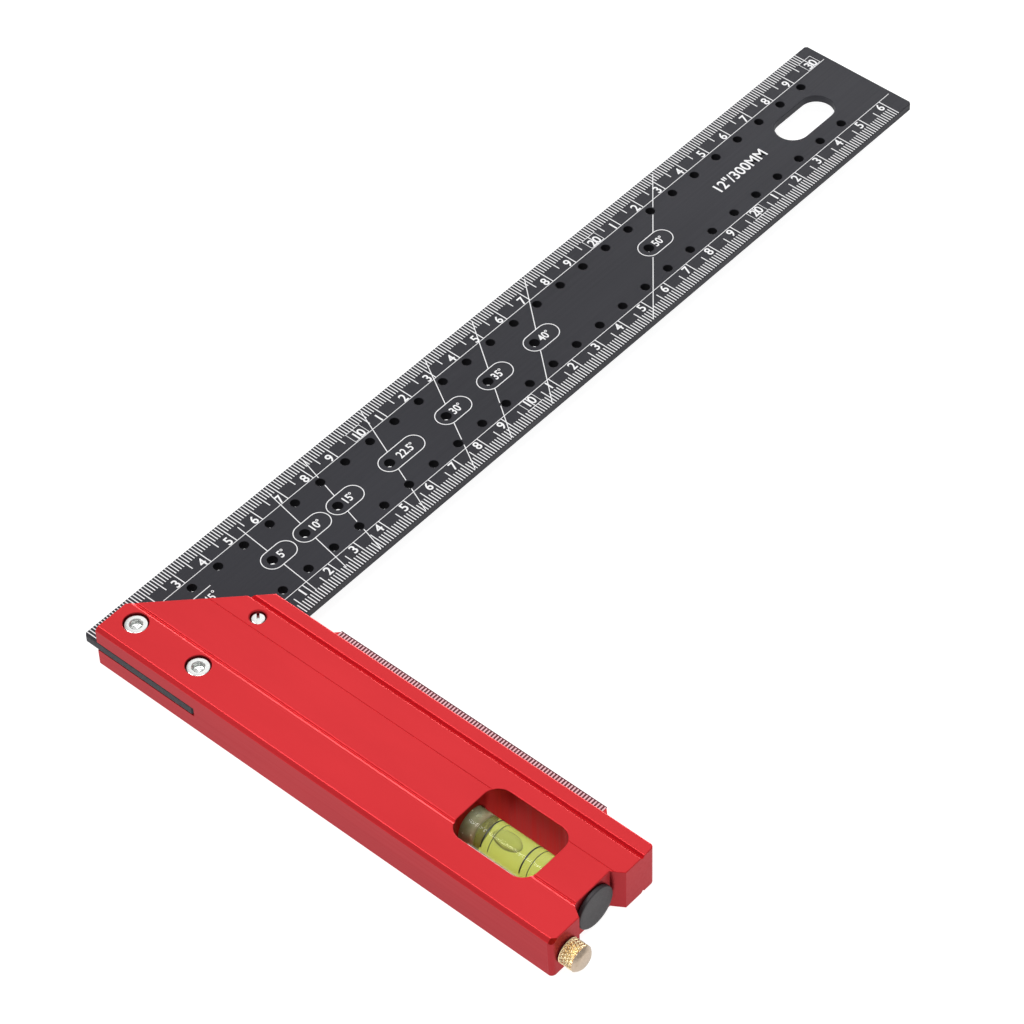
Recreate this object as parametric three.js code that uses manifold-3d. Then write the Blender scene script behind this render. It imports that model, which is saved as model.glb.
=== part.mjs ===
// Carpenter's marking square: a ruled and drilled blade clamped in a thick stock that holds a
// spirit level and stores the locating pin.
//
// Square frame used below: X runs along the blade from the stock's outer face, the blade's outer
// edge is y = 0 and the stock runs towards -Y, and Z rises from the stock's underside.
// Lengths are millimetres. The exported group moves all of it so that the centre of the whole
// object's underside is the origin.
import * as THREE from 'three';
import { mergeVertices } from 'three/addons/utils/BufferGeometryUtils.js';
import Module from 'manifold-3d';

const wasm = await Module();
wasm.setup();

// Driving dimensions
const GAP = 0.3; // between two pieces that touch
const STOCK_WIDTH = 39.5;
const STOCK_THICKNESS = 14.4;
const STOCK_HEEL_Y = -4.9;
const STOCK_END_Y = -163;
const MITRE_SUM = 6.4; // x + y everywhere on the 45 degree shoulder
const UPPER_OUTER_CHAMFER = 1.1; // along the stock's upper outer edge
const EDGE_CHAMFER = 0.3; // along its other three long edges
const CORNER_CHAMFER = 1.2; // on the two upright edges at its end
const MID = STOCK_THICKNESS / 2; // height of the middle plane of the stock and the blade

const BLADE_LENGTH = 305.6;
const BLADE_WIDTH = 40;
const BLADE_THICKNESS = 2.5;
const BLADE_CHAMFER = 0.7;

// Decorative grooves along both broad faces: left edge, bottom, right edge and depth
const GROOVES = [
  { left: 12.15, bottom: 13.15, right: 13.45, depth: 0.45 },
  { left: 34, bottom: 34.4, right: 35.55, depth: 0.85 },
];

// Ruled ledge on the stock's inner face
const LEDGE_REACH = 5;
const LEDGE_START_Y = -49.7;
const LEDGE_END_Y = -144.9;
const LEDGE_BEVEL = 2;

// Marking holes: two rows, one hole every centimetre
const HOLE_RADIUS = 1.4;
const HOLE_ROWS = [
  { y: -10.5, firstX: 30, lastX: 290 },
  { y: -29.6, firstX: 45, lastX: 285 },
];
const HOLE_PITCH = 10;

// Angle holes: the locating pin in one of them and the stock's far corner set the angle
const PIN_RADIUS = 1.5;
const ANGLES = [5, 10, 15, 22.5, 30, 35, 40, 50];
const ANGLE_ROW_Y = -20.1;
const PIVOT = { x: 39.7, y: -162.8 };
const ANGLE_HOLE_INSET = 1.2; // from the hole's centre to the marked line, square to the line
const ANGLE_HOLE_RADIUS = 1.55;

// Hanging slot near the blade's tip
const HANG_SLOT = { x: 280.1, y: -19.8, length: 22.3, width: 10.7 };

// Screws
const CLAMP_SCREWS = { heel: { x: 8.3, y: -11.8 }, throat: { x: 8.3, y: -34.6 } };
const CLAMP_HEAD_RADIUS = 3.25;
const CLAMP_HEAD_HEIGHT = 2.6;
const CLAMP_SHANK_RADIUS = 2;
const CLAMP_TIP_Z = 0.8;
const HEX_KEY = 3; // across flats
const HEX_DEPTH = 1.6;
const SCREW_RECESS = 0.6; // below the broad face
const SET_SCREW = { x: 30.4, y: -35 };
const SET_SCREW_RADIUS = 2;
const DRIVER_SLOT_WIDTH = 0.8;
const DRIVER_SLOT_DEPTH = 1.1;

// Spirit level, which lies along Y in the middle of the stock
const VIAL_X = 19.4;
const VIAL_RADIUS = 5;
const VIAL_BORE_RADIUS = 5.35;
const CHAMBER_RADIUS = 3.9;
const CHAMBER_TOP_Y = -123.8;
const CHAMBER_END_Y = -145.6;
const VIAL_CLOSED_END_Y = -116.4;
const VIAL_OPEN_END_Y = -150.2;
const PAD_THICKNESS = 3;
const WINDOW = { width: 19.3, topY: -119.6, endY: -146, corner: 4.7 };
const BUBBLE = { y: -131.8, length: 9.2, width: 4.4, height: 2, rise: 2.45 };
const BUBBLE_CHANNEL_WIDTH = 5.2;
const BUBBLE_CHANNEL_FLOOR = 1.1; // above the vial's axis

// Plug in the notch at the stock's end
const NOTCH = { mouthWidth: 17.8, floorWidth: 13.4, depth: 3.45 };
const PLUG_RADIUS = 6.4;
const PLUG_STEM_RADIUS = 5;
const PLUG_FACE_Y = STOCK_END_Y + 2.1;
const PLUG_BEVEL = 0.5;

// Locating pin, stored in the stock's end
const PIN_X = 5.7;
const PIN_HEIGHT = 6.15; // of its axis above the stock's underside
const PIN_HEAD_RADIUS = 3.8;
const PIN_HEAD_LENGTH = 5.3;
const PIN_HEAD_BEVEL = 0.5;
const PIN_HEAD_GAP = 0.4; // between the head and the stock's end face
const PIN_LENGTH = 18;
const PIN_SOCKET_DEPTH = 3.3; // how far the shank goes into the head

const ROUND_SIDES = 32;
const CURVE_SEGMENTS = 6;
const SMALL_HOLE_SIDES = 12;

const PIN_FACE_Y = STOCK_END_Y - PIN_HEAD_GAP;
const PIN_TIP_Y = PIN_FACE_Y - PIN_HEAD_LENGTH;
const PIN_SHANK_LOW_Y = PIN_FACE_Y - PIN_SOCKET_DEPTH;
const PIN_SHANK_HIGH_Y = PIN_SHANK_LOW_Y + PIN_LENGTH;
const NOTCH_FLOOR_Y = STOCK_END_Y + NOTCH.depth;
const VIAL_BORE_END_Y = VIAL_CLOSED_END_Y + PAD_THICKNESS + 2 * GAP;

// ---------------------------------------------------------------- solids and geometry

// A closed solid for cutting and joining, made from any closed geometry.
function toSolid(geometry) {
  const bare = geometry.clone();
  bare.deleteAttribute('normal');
  bare.deleteAttribute('uv');
  const merged = mergeVertices(bare, 1e-5);
  return new wasm.Manifold(
    new wasm.Mesh({
      numProp: 3,
      vertProperties: new Float32Array(merged.attributes.position.array),
      triVerts: new Uint32Array(merged.index.array),
    }),
  );
}

function toGeometry(solid) {
  const mesh = solid.getMesh();
  const geometry = new THREE.BufferGeometry();
  geometry.setAttribute('position', new THREE.BufferAttribute(mesh.vertProperties, 3));
  geometry.setIndex(new THREE.BufferAttribute(mesh.triVerts, 1));
  geometry.computeVertexNormals();
  return geometry;
}

function cut(base, cutters) {
  let solid = toSolid(base);
  for (const cutter of cutters) solid = solid.subtract(toSolid(cutter));
  return toGeometry(solid);
}

// An outline in X and Y, pushed up from z = low to z = high.
function uprightPrism(shape, low, high) {
  const options = { depth: high - low, bevelEnabled: false, curveSegments: CURVE_SEGMENTS };
  const geometry = new THREE.ExtrudeGeometry(shape, options);
  return geometry.translate(0, 0, low);
}

function uprightCylinder(x, y, radius, low, high, sides) {
  const geometry = new THREE.CylinderGeometry(radius, radius, high - low, sides);
  return geometry.rotateX(Math.PI / 2).translate(x, y, (low + high) / 2);
}

// A cylinder along Y at height z, between y = low and y = high.
function longCylinder(x, z, radius, low, high) {
  const geometry = new THREE.CylinderGeometry(radius, radius, high - low, ROUND_SIDES);
  return geometry.translate(x, (low + high) / 2, z);
}

function boxBetween(low, high) {
  const size = high.map((value, axis) => value - low[axis]);
  const geometry = new THREE.BoxGeometry(...size);
  return geometry.translate(...low.map((value, axis) => value + size[axis] / 2));
}

function polygon(points) {
  return new THREE.Shape(points.map(([x, y]) => new THREE.Vector2(x, y)));
}

// A solid turned about the Y axis; each point is a radius and a y.
function turned(points) {
  return new THREE.LatheGeometry(points.map(([r, y]) => new THREE.Vector2(r, y)), ROUND_SIDES);
}

// Adds a round-cornered rectangle to a Shape or Path.
function roundedRectangle(path, left, right, low, high, corner) {
  path.moveTo(left + corner, low);
  path.lineTo(right - corner, low);
  path.absarc(right - corner, low + corner, corner, -Math.PI / 2, 0, false);
  path.lineTo(right, high - corner);
  path.absarc(right - corner, high - corner, corner, 0, Math.PI / 2, false);
  path.lineTo(left + corner, high);
  path.absarc(left + corner, high - corner, corner, Math.PI / 2, Math.PI, false);
  path.lineTo(left, low + corner);
  path.absarc(left + corner, low + corner, corner, Math.PI, Math.PI * 1.5, false);
  return path;
}

function circlePath(x, y, radius, sides) {
  const points = [];
  for (let i = 0; i < sides; i += 1) {
    const angle = (-2 * Math.PI * i) / sides;
    points.push(new THREE.Vector2(x + radius * Math.cos(angle), y + radius * Math.sin(angle)));
  }
  return new THREE.Path(points);
}

function piece(name, geometry, color, roughness, metalness) {
  const mesh = new THREE.Mesh(geometry, new THREE.MeshStandardMaterial({ color, roughness, metalness }));
  mesh.name = name;
  return mesh;
}

// ---------------------------------------------------------------- stock

// Half of the stock's cross-section, as x and the height above its middle plane.
function halfSection(outerChamfer) {
  const half = [
    [0, MID - outerChamfer],
    [outerChamfer, MID],
  ];
  for (const groove of GROOVES) {
    half.push([groove.left, MID], [groove.bottom, MID - groove.depth], [groove.right, MID]);
  }
  half.push([STOCK_WIDTH - EDGE_CHAMFER, MID], [STOCK_WIDTH, MID - EDGE_CHAMFER]);
  return half;
}

// The stock's cross-section in X and Z. Only the outer edge differs above and below the middle plane.
function stockSection() {
  const upper = halfSection(UPPER_OUTER_CHAMFER);
  const lower = halfSection(EDGE_CHAMFER).map(([x, height]) => [x, -height]).reverse();
  const outline = [...upper, ...lower].map(([x, height]) => [x, MID + height]);
  return polygon(outline);
}

// The stock seen from above: heel, 45 degree shoulder, chamfered end, end notch and level window.
function stockPlan() {
  const halfMouth = NOTCH.mouthWidth / 2;
  const halfFloor = NOTCH.floorWidth / 2;
  const plan = new THREE.Shape();
  plan.moveTo(0, STOCK_HEEL_Y);
  plan.lineTo(0, STOCK_END_Y + CORNER_CHAMFER);
  plan.lineTo(CORNER_CHAMFER, STOCK_END_Y);
  plan.lineTo(VIAL_X - halfMouth, STOCK_END_Y);
  plan.quadraticCurveTo(VIAL_X - halfFloor - 0.6, NOTCH_FLOOR_Y - 1, VIAL_X - halfFloor, NOTCH_FLOOR_Y);
  plan.lineTo(VIAL_X + halfFloor, NOTCH_FLOOR_Y);
  plan.quadraticCurveTo(VIAL_X + halfFloor + 0.6, NOTCH_FLOOR_Y - 1, VIAL_X + halfMouth, STOCK_END_Y);
  plan.lineTo(STOCK_WIDTH - CORNER_CHAMFER, STOCK_END_Y);
  plan.lineTo(STOCK_WIDTH, STOCK_END_Y + CORNER_CHAMFER);
  plan.lineTo(STOCK_WIDTH, MITRE_SUM - STOCK_WIDTH);
  plan.lineTo(MITRE_SUM - STOCK_HEEL_Y, STOCK_HEEL_Y);
  const half = WINDOW.width / 2;
  const window = new THREE.Path();
  roundedRectangle(window, VIAL_X - half, VIAL_X + half, WINDOW.endY, WINDOW.topY, WINDOW.corner);
  plan.holes.push(window);
  return plan;
}

function ledgePlan() {
  const root = STOCK_WIDTH - 1;
  const tip = STOCK_WIDTH + LEDGE_REACH;
  return polygon([
    [root, LEDGE_END_Y],
    [tip - LEDGE_BEVEL, LEDGE_END_Y],
    [tip, LEDGE_END_Y + LEDGE_BEVEL],
    [tip, LEDGE_START_Y - LEDGE_BEVEL],
    [tip - LEDGE_BEVEL, LEDGE_START_Y],
    [root, LEDGE_START_Y],
  ]);
}

function makeStock() {
  const length = STOCK_HEEL_Y - STOCK_END_Y;
  const bar = new THREE.ExtrudeGeometry(stockSection(), { depth: length, bevelEnabled: false });
  bar.rotateX(Math.PI / 2).translate(0, STOCK_HEEL_Y, 0);
  const halfBlade = BLADE_THICKNESS / 2;
  const ledge = uprightPrism(ledgePlan(), MID - halfBlade, MID + halfBlade);
  const outline = uprightPrism(stockPlan(), -1, STOCK_THICKNESS + 1);
  const whole = toSolid(bar).intersect(toSolid(outline)).add(toSolid(ledge));

  const halfSlot = halfBlade + GAP;
  const headFloor = STOCK_THICKNESS - SCREW_RECESS - CLAMP_HEAD_HEIGHT - GAP;
  const cutters = [
    boxBetween([-1, -BLADE_WIDTH - GAP, MID - halfSlot], [STOCK_WIDTH + 1, 1, MID + halfSlot]),
    longCylinder(VIAL_X, MID, VIAL_BORE_RADIUS, NOTCH_FLOOR_Y - 1, VIAL_BORE_END_Y),
    longCylinder(PIN_X, PIN_HEIGHT, PIN_RADIUS + GAP, STOCK_END_Y - 1, PIN_SHANK_HIGH_Y + GAP),
    uprightCylinder(SET_SCREW.x, SET_SCREW.y, SET_SCREW_RADIUS + GAP, MID, STOCK_THICKNESS + 1, ROUND_SIDES),
  ];
  for (const { x, y } of Object.values(CLAMP_SCREWS)) {
    cutters.push(uprightCylinder(x, y, CLAMP_SHANK_RADIUS + GAP, -1, STOCK_THICKNESS, ROUND_SIDES));
    cutters.push(uprightCylinder(x, y, CLAMP_HEAD_RADIUS + GAP, headFloor, STOCK_THICKNESS + 1, ROUND_SIDES));
  }
  return piece('stock', cut(toGeometry(whole), cutters), 0xd2323c, 0.35, 0.85);
}

// ---------------------------------------------------------------- blade

function angleHoleX(degrees) {
  const angle = THREE.MathUtils.degToRad(degrees);
  const lineX = PIVOT.x + (ANGLE_ROW_Y - PIVOT.y) * Math.tan(angle);
  return lineX - ANGLE_HOLE_INSET / Math.cos(angle);
}

function makeBlade() {
  const right = BLADE_LENGTH;
  const plan = polygon([
    [0, -BLADE_CHAMFER],
    [0, BLADE_CHAMFER - BLADE_WIDTH],
    [BLADE_CHAMFER, -BLADE_WIDTH],
    [right - BLADE_CHAMFER, -BLADE_WIDTH],
    [right, BLADE_CHAMFER - BLADE_WIDTH],
    [right, -BLADE_CHAMFER],
    [right - BLADE_CHAMFER, 0],
    [BLADE_CHAMFER, 0],
  ]);
  for (const row of HOLE_ROWS) {
    for (let x = row.firstX; x <= row.lastX; x += HOLE_PITCH) {
      plan.holes.push(circlePath(x, row.y, HOLE_RADIUS, SMALL_HOLE_SIDES));
    }
  }
  for (const degrees of ANGLES) {
    plan.holes.push(circlePath(angleHoleX(degrees), ANGLE_ROW_Y, ANGLE_HOLE_RADIUS, SMALL_HOLE_SIDES));
  }
  for (const { x, y } of Object.values(CLAMP_SCREWS)) {
    plan.holes.push(circlePath(x, y, CLAMP_SHANK_RADIUS + GAP, ROUND_SIDES));
  }
  const halfLength = HANG_SLOT.length / 2;
  const radius = HANG_SLOT.width / 2;
  const slot = new THREE.Path();
  const { x, y } = HANG_SLOT;
  roundedRectangle(slot, x - halfLength, x + halfLength, y - radius, y + radius, radius - 0.01);
  plan.holes.push(slot);
  const halfBlade = BLADE_THICKNESS / 2;
  return piece('blade', uprightPrism(plan, MID - halfBlade, MID + halfBlade), 0x3a383f, 0.5, 0.6);
}

// ---------------------------------------------------------------- screws

// A socket-head screw. It is turned about local Y, then stood upright at its place.
function makeClampScrew(name, { x, y }) {
  const top = STOCK_THICKNESS - SCREW_RECESS;
  const seat = top - CLAMP_HEAD_HEIGHT;
  const bevel = 0.35;
  const body = turned([
    [0, CLAMP_TIP_Z],
    [CLAMP_SHANK_RADIUS - bevel, CLAMP_TIP_Z],
    [CLAMP_SHANK_RADIUS, CLAMP_TIP_Z + bevel],
    [CLAMP_SHANK_RADIUS, seat],
    [CLAMP_HEAD_RADIUS, seat],
    [CLAMP_HEAD_RADIUS, top - bevel],
    [CLAMP_HEAD_RADIUS - bevel, top],
    [0, top],
  ]);
  const hexRadius = HEX_KEY / Math.sqrt(3);
  const socket = new THREE.CylinderGeometry(hexRadius, hexRadius, HEX_DEPTH * 2, 6).translate(0, top, 0);
  const screw = piece(name, cut(body, [socket]), 0xd8dad6, 0.25, 1);
  screw.rotation.x = Math.PI / 2;
  screw.position.set(x, y, 0);
  return screw;
}

function makeSetScrew() {
  const top = STOCK_THICKNESS - SCREW_RECESS;
  const foot = MID + BLADE_THICKNESS / 2 + GAP;
  const bevel = 0.3;
  const body = turned([
    [0, foot],
    [SET_SCREW_RADIUS - bevel, foot],
    [SET_SCREW_RADIUS, foot + bevel],
    [SET_SCREW_RADIUS, top - bevel],
    [SET_SCREW_RADIUS - bevel, top],
    [0, top],
  ]);
  const slot = new THREE.BoxGeometry(SET_SCREW_RADIUS * 3, DRIVER_SLOT_DEPTH * 2, DRIVER_SLOT_WIDTH);
  const screw = piece('set_screw', cut(body, [slot.translate(0, top, 0)]), 0xd8dad6, 0.25, 1);
  // The driver slot stands 45 degrees to the blade.
  screw.rotation.set(Math.PI / 2, Math.PI / 4, 0);
  screw.position.set(SET_SCREW.x, SET_SCREW.y, 0);
  return screw;
}

// ---------------------------------------------------------------- spirit level

// Every piece of the level is turned about the local Y axis, which its group puts in the middle plane.
function makeVialTube() {
  const profile = [
    [0, CHAMBER_TOP_Y],
    [CHAMBER_RADIUS, CHAMBER_TOP_Y],
    [CHAMBER_RADIUS, VIAL_OPEN_END_Y],
    [VIAL_RADIUS, VIAL_OPEN_END_Y],
    [VIAL_RADIUS, VIAL_CLOSED_END_Y],
    [0, VIAL_CLOSED_END_Y],
  ];
  return piece('vial_tube', turned(profile), 0xdfe8c8, 0.08, 0);
}

function makeVialLiquid() {
  const radius = CHAMBER_RADIUS - GAP;
  const low = CHAMBER_END_Y + GAP;
  const high = CHAMBER_TOP_Y - GAP;
  const body = turned([
    [0, low],
    [radius, low],
    [radius, high],
    [0, high],
  ]);
  const half = BUBBLE_CHANNEL_WIDTH / 2;
  const channel = boxBetween([-half, low + 1, BUBBLE_CHANNEL_FLOOR], [half, high - 1, VIAL_RADIUS]);
  return piece('vial_liquid', cut(body, [channel]), 0xb9cc3a, 0.05, 0);
}

function makeVialBubble() {
  const bubble = new THREE.SphereGeometry(0.5, 24, 12).scale(BUBBLE.width, BUBBLE.length, BUBBLE.height);
  const mesh = piece('vial_bubble', bubble, 0xf2f5dc, 0.05, 0);
  mesh.position.set(0, BUBBLE.y, BUBBLE.rise);
  return mesh;
}

function makeVialStopper() {
  const radius = CHAMBER_RADIUS - GAP;
  const profile = [
    [0, VIAL_OPEN_END_Y + GAP],
    [radius, VIAL_OPEN_END_Y + GAP],
    [radius, CHAMBER_END_Y],
    [0, CHAMBER_END_Y],
  ];
  return piece('vial_stopper', turned(profile), 0xe8ecd8, 0.2, 0);
}

function makeVialPad() {
  const low = VIAL_CLOSED_END_Y + GAP;
  const profile = [
    [0, low],
    [VIAL_RADIUS, low],
    [VIAL_RADIUS, low + PAD_THICKNESS],
    [0, low + PAD_THICKNESS],
  ];
  return piece('vial_pad', turned(profile), 0x2a2a2c, 0.95, 0);
}

function makeEndPlug() {
  const seat = NOTCH_FLOOR_Y - GAP;
  const profile = [
    [0, PLUG_FACE_Y],
    [PLUG_RADIUS - PLUG_BEVEL, PLUG_FACE_Y],
    [PLUG_RADIUS, PLUG_FACE_Y + PLUG_BEVEL],
    [PLUG_RADIUS, seat],
    [PLUG_STEM_RADIUS, seat],
    [PLUG_STEM_RADIUS, VIAL_OPEN_END_Y - GAP],
    [0, VIAL_OPEN_END_Y - GAP],
  ];
  return piece('end_plug', turned(profile), 0x4a484c, 0.7, 0);
}

// ---------------------------------------------------------------- locating pin

function makePinHead() {
  const socketRadius = PIN_RADIUS + GAP;
  const socketFloor = PIN_SHANK_LOW_Y - GAP;
  const profile = [
    [0, PIN_TIP_Y],
    [PIN_HEAD_RADIUS - PIN_HEAD_BEVEL, PIN_TIP_Y],
    [PIN_HEAD_RADIUS, PIN_TIP_Y + PIN_HEAD_BEVEL],
    [PIN_HEAD_RADIUS, PIN_FACE_Y],
    [socketRadius, PIN_FACE_Y],
    [socketRadius, socketFloor],
    [0, socketFloor],
  ];
  return piece('pin_head', turned(profile), 0xd8bb6a, 0.3, 1);
}

function makePinShank() {
  const bevel = 0.4;
  const profile = [
    [0, PIN_SHANK_LOW_Y],
    [PIN_RADIUS, PIN_SHANK_LOW_Y],
    [PIN_RADIUS, PIN_SHANK_HIGH_Y - bevel],
    [PIN_RADIUS - bevel, PIN_SHANK_HIGH_Y],
    [0, PIN_SHANK_HIGH_Y],
  ];
  return piece('pin_shank', turned(profile), 0xb9bcbf, 0.3, 1);
}

// ---------------------------------------------------------------- assembly

const level = new THREE.Group();
level.position.set(VIAL_X, 0, MID);
level.add(makeVialTube(), makeVialLiquid(), makeVialBubble(), makeVialStopper(), makeVialPad(), makeEndPlug());

const locatingPin = new THREE.Group();
locatingPin.position.set(PIN_X, 0, PIN_HEIGHT);
locatingPin.add(makePinHead(), makePinShank());

const squareFrame = new THREE.Group();
squareFrame.position.set(-BLADE_LENGTH / 2, -PIN_TIP_Y / 2, 0);
squareFrame.add(makeStock(), makeBlade(), makeSetScrew(), level, locatingPin);
for (const [place, point] of Object.entries(CLAMP_SCREWS)) {
  squareFrame.add(makeClampScrew(`clamp_screw_${place}`, point));
}

const square = new THREE.Group();
square.add(squareFrame);

export default square;
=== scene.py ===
"""A carpenter's marking square: an anodised stock with a spirit level and a stored locating pin,
and a black ruled blade drilled for a pencil point and for the pin.

Lengths are millimetres in the square's own frame, and piece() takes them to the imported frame:
X runs along the blade from the stock's outer face, the blade's outer edge is y = 0 and the stock
runs towards -Y, and z = 0 is the stock's underside.
"""

import math

import bmesh
import bpy
from mathutils import Matrix, Vector


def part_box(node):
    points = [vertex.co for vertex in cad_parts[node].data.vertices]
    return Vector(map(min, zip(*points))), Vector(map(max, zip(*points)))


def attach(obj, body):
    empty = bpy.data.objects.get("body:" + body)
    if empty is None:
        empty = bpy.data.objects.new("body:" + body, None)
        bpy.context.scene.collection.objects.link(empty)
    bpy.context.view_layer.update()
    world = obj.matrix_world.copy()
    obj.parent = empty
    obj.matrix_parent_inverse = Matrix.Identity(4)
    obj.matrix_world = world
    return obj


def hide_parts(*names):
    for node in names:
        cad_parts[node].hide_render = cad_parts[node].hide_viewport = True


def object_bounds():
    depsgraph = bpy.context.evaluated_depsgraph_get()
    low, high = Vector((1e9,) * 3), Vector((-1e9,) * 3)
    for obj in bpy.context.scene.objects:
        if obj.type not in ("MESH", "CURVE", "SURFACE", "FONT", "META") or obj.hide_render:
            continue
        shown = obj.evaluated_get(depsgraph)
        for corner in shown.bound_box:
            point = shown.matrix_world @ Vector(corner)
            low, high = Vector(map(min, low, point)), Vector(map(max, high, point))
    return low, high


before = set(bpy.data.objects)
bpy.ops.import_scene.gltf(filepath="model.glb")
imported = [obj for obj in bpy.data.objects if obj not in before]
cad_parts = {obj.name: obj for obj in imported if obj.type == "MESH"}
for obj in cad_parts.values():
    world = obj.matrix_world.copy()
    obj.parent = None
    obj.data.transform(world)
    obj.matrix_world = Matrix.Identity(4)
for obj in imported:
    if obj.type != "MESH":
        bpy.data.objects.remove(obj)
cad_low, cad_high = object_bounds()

MM = 0.001

# The corner of the blade's outer edge and its end in the stock, on the plane the stock lies on
CORNER = Vector((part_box("blade")[0].x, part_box("blade")[1].y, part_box("stock")[0].z))
TO_FRAME = Matrix.Translation(CORNER) @ Matrix.Scale(MM, 4)


def box_mm(node):
    """Lowest and highest corners of a CAD node, in millimetres from CORNER."""
    low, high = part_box(node)
    return (low - CORNER) / MM, (high - CORNER) / MM


BLADE_LOW, BLADE_HIGH = box_mm("blade")
STOCK_LOW, STOCK_HIGH = box_mm("stock")
MID = (BLADE_LOW.z + BLADE_HIGH.z) / 2
GAP = 0.3  # between two pieces that touch

# Stock
STOCK_WIDTH = 39.5
THICKNESS = STOCK_HIGH.z
HEEL_Y = STOCK_HIGH.y
END_Y = STOCK_LOW.y
MITRE_SUM = 6.4  # x + y everywhere on the 45 degree shoulder
UPPER_OUTER_CHAMFER = 1.1  # along the upper outer edge
EDGE_CHAMFER = 0.3  # along the other three long edges
CORNER_RADIUS = 1.5  # of the two upright edges at its end
EDGE_ROUND = 0.3  # on the milled edges of the stock's plan
SECTION_ROUND = 0.16  # on the corners of its section
GROOVES = [(12.15, 13.15, 13.45, 0.45), (34, 34.75, 35.55, 0.85)]  # left, bottom, right, depth
SCRIBED_LINE = {"x": 26.7, "width": 0.25, "depth": 0.15}
LEDGE = {"start": -49.7, "end": -144.9, "bevel": 2, "round": 0.2, "root": 1}
LEDGE_TICKS = {"first": -51.75, "last": -142.75, "reach": 1.6, "width": 0.42}
CORNER_NICK = 2.25  # reach of the small facet on the outer top corner at the stock's end
WINDOW = {"x": 19.4, "width": 19.3, "top": -119.6, "end": -146, "corner": 4.7}
NOTCH = {"mouth": 17.8, "floor": 13.4, "depth": 3.45}

# Blade
BLADE_CHAMFER = 0.7
BLADE_ROUND = 0.15
HOLE_SIDES = 28
HOLE_RADIUS = 1.4
HOLE_FOOT_RADIUS = 0.75  # the holes taper towards the blade's underside
HOLE_ROWS = [(-10.5, 30, 290), (-29.6, 45, 285)]  # y, first x and last x
ANGLE_HOLE_RADIUS = 1.55
ANGLES = {5: "5", 10: "10", 15: "15", 22.5: "22.5", 30: "30", 35: "35", 40: "40", 50: "50"}
ANGLE_ROW_Y = -20.1
ANGLE_HOLE_INSET = 1.2
PIVOT = (39.7, -162.8)  # where the angle lines would meet
HANG_SLOT = {"x": 280.1, "y": -19.8, "length": 22.3, "width": 10.7}
CENTIMETRE = 10

# Printed marks
INK = 0.03  # height above the metal
TICK_WIDTH = 0.3
LINE_WIDTH = 0.26
TICK_LENGTHS = {"millimetre": 3.7, "half": 5.9, "centimetre": 8}
OUTER_GUIDE_Y = -8
INNER_GUIDE_Y = -32.4
GUIDE_START = 8
GUIDE_END_GAP = 1.3  # from the blade's tip
GUIDE_WIDTH = 0.2
OUTER_MARKS = 300
INNER_ZERO = 39.53  # x where the inner scale starts
INNER_MARKS = 260
DIGIT_HEIGHT = 3
FIGURE_HEIGHT = 0.69  # of a figure in the lettering, at size 1
LETTER_WEIGHT = 0.015  # outward offset of a figure's strokes, at size 1
THIN_WEIGHT = 0.012  # for degree signs and the size
DIGIT_OFFSET = 1.75  # from a tick back to the middle of its figure
OUTER_DIGIT_Y = -6.3
INNER_DIGIT_Y = -34.2
NUMBER_BOX = (5.3, 3.9)  # width and height
BOX_LINE_WIDTH = 0.16
SHOULDER_LINE = {"y": -13.7, "start": 11.55, "end": 33.76}  # its start is under the stock
SHOULDER_TEXT = {"text": "45", "x": 30.3, "y": -16.8, "height": 2.6, "condense": 0.88}
SHOULDER_DEGREE = {"text": "°", "x": 32.55, "y": -16.4, "height": 2.2, "weight": THIN_WEIGHT}
SIZE_TEXT = {
    "text": '12"/300MM', "x": 249.8, "y": -19.6, "height": 3.7,
    "weight": THIN_WEIGHT, "condense": 0.93,
}
PILL_Y = -20.2
PILL_RADIUS = 3.25
PILL_DIGIT_HEIGHT = 2.7
PILL_DEGREE_HEIGHT = 2.1

# Screws, level and pin
CLAMP_SCREWS = ("clamp_screw_heel", "clamp_screw_throat")
HEX_KEY = 3
HEX_DEPTH = 1.6
SCREW_HOLE_RADIUS = 2.3
HEAD_HOLE = {"radius": 3.55, "depth": 3.5, "countersink": 0.12}
CLAMP_SCREW = {"head": 2.6, "shank_radius": 2}
SET_SCREW = {"radius": 2, "slot_width": 0.8, "slot_depth": 1.1, "countersink": 0.3}
VIAL_RADIUS = 5
VIAL_BORE_RADIUS = 5.35
VIAL_AXIS = (WINDOW["x"], 0, MID)  # a point on the vial's middle line
LIQUID_RADIUS = 4.75  # as seen through the tube
RINGS = [(-126.8, 0.42), (-129.15, 0.2), (-139.6, 0.42), (-141.9, 0.2)]  # y and width
RING_ARC = (12, 168)  # degrees of each ring's ends, from the vial's side over its top
KNURL_TEETH = 22
KNURL_DEPTH = 0.44
KNURL_TWIST = 0.15  # radians that a knurl line turns in a millimetre

ROUND = 64  # sides of a turned piece that doesn't give its own


# ---------------------------------------------------------------- mesh helpers


def mesh_from_bmesh(bm, name):
    mesh = bpy.data.meshes.new(name)
    bmesh.ops.recalc_face_normals(bm, faces=bm.faces)
    bm.to_mesh(mesh)
    bm.free()
    return mesh


def link(name, mesh):
    thing = bpy.data.objects.new(name, mesh)
    bpy.context.scene.collection.objects.link(thing)
    return thing


def baked(thing):
    """The mesh that a thing has after its modifiers, and the thing itself is removed."""
    bpy.context.view_layer.update()
    graph = bpy.context.evaluated_depsgraph_get()
    mesh = bpy.data.meshes.new_from_object(thing.evaluated_get(graph))
    bpy.data.objects.remove(thing)
    return mesh


def welded(mesh, distance=1e-4):
    bm = bmesh.new()
    bm.from_mesh(mesh)
    bmesh.ops.remove_doubles(bm, verts=bm.verts, dist=distance)
    return mesh_from_bmesh(bm, mesh.name)


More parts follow.
